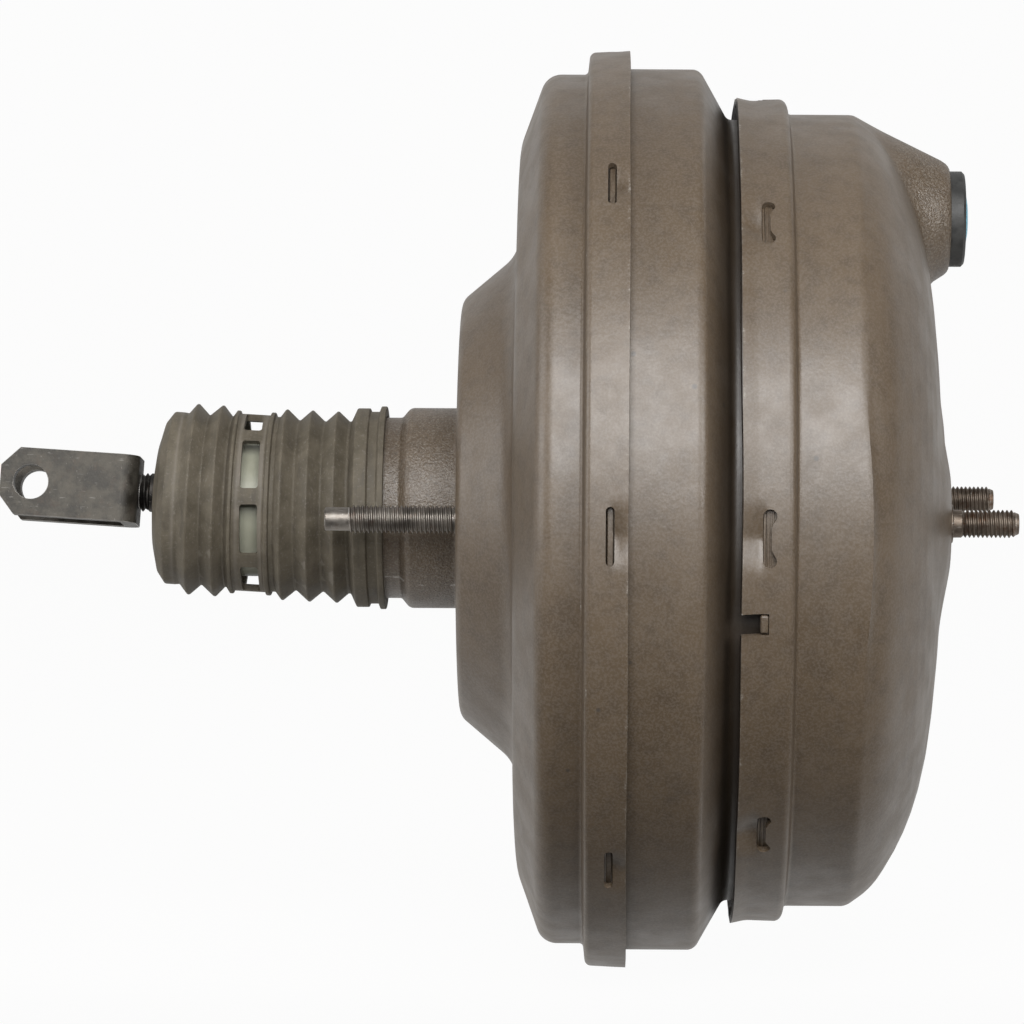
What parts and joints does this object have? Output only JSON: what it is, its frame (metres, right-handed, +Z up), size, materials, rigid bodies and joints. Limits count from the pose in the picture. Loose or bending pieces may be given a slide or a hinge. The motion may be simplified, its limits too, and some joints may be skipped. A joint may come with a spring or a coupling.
{
  "type": "vacuum brake booster",
  "caption": "Tandem vacuum brake booster: stamped round shells joined by lanced bands, bellows boot with input rod and clevis, domed front with mounting studs and a plugged vacuum port.",
  "frame": {"origin": "on the booster's axis, in the plane of the rear mounting face", "axes": "+X along the axis towards the master cylinder, +Z up through the vacuum port"},
  "size_m": [0.2969, 0.2692, 0.2692],
  "materials": {
    "shell_paint": "satin grey-brown paint with fine texture",
    "bare_steel": "dark bare steel, scratched",
    "zinc_steel": "zinc plated",
    "boot_rubber": "matt rubber with overspray",
    "black_rubber": "satin black",
    "white_nylon": "satin white",
    "felt": "pressed felt",
    "plug_blue": "smooth light blue"
  },
  "bodies": {
    "housing": {"rear_shell": "shell_paint", "mid_housing": "shell_paint", "front_shell": "shell_paint", "centre_plate": "shell_paint", "rear_stud_plate": "zinc_steel", "front_stud_plate": "zinc_steel", "bulkhead_studs": "bare_steel", "cylinder_studs": "bare_steel", "neck_bearing": "white_nylon", "neck_seal": "black_rubber", "neck_retainer": "zinc_steel", "centre_bearing": "white_nylon", "centre_seal": "black_rubber", "centre_retainer": "zinc_steel", "vacuum_grommet": "black_rubber", "boot": "boot_rubber", "rear_diaphragm": "black_rubber", "front_diaphragm": "black_rubber", "return_spring": "zinc_steel"},
    "power_piston": {"valve_body": "white_nylon", "rear_plate": "zinc_steel", "front_plate": "zinc_steel", "rear_plate_ring": "zinc_steel", "front_plate_ring": "zinc_steel", "stop_key": "zinc_steel", "reaction_disc": "black_rubber", "output_rod": "zinc_steel", "output_rod_retainer": "zinc_steel", "output_rod_screw": "zinc_steel", "air_filter": "felt", "silencer": "felt", "filter_retainer": "white_nylon", "poppet": "black_rubber", "poppet_retainer": "zinc_steel", "poppet_spring": "zinc_steel", "rod_return_spring": "zinc_steel"},
    "plunger": {"valve_plunger": "zinc_steel"},
    "rod_pitch_washer": {"seat_ring": "bare_steel"},
    "rod_yaw_seat": {"spring_seat": "zinc_steel"},
    "push_rod": {"input_rod": "bare_steel", "clevis": "bare_steel"},
    "plug": {"port_plug": "plug_blue"}
  },
  "joints": [
    {"name": "piston_stroke", "type": "slide", "parent": "housing", "child": "power_piston", "axis": [1, 0, 0], "range_m": [0, 0.032], "stiffness_N_per_m": 4500, "springref_m": -0.027, "deforming": ["boot", "rear_diaphragm", "front_diaphragm", "return_spring"]},
    {"name": "plunger_stroke", "type": "slide", "parent": "power_piston", "child": "plunger", "axis": [1, 0, 0], "range_m": [0, 0.0015], "stiffness_N_per_m": 3000, "springref_m": -0.006, "deforming": ["poppet_spring", "rod_return_spring"]},
    {"name": "rod_pitch", "type": "hinge", "parent": "plunger", "child": "rod_pitch_washer", "pos_m": [-0.0255, 0, 0], "axis": [0, 1, 0], "range_deg": [-7.5, 0.5]},
    {"name": "rod_yaw", "type": "hinge", "parent": "rod_pitch_washer", "child": "rod_yaw_seat", "pos_m": [-0.0255, 0, 0], "axis": [0.061, 0, 0.9981], "range_deg": [-2.5, 2.5]},
    {"name": "rod_spin", "type": "hinge", "parent": "rod_yaw_seat", "child": "push_rod", "pos_m": [-0.0255, 0, 0], "axis": [-0.9981, 0, 0.061], "continuous": true},
    {"name": "plug_pull", "type": "slide", "parent": "housing", "child": "plug", "axis": [1, 0, 0], "range_m": [0, 0.03]}
  ]
}
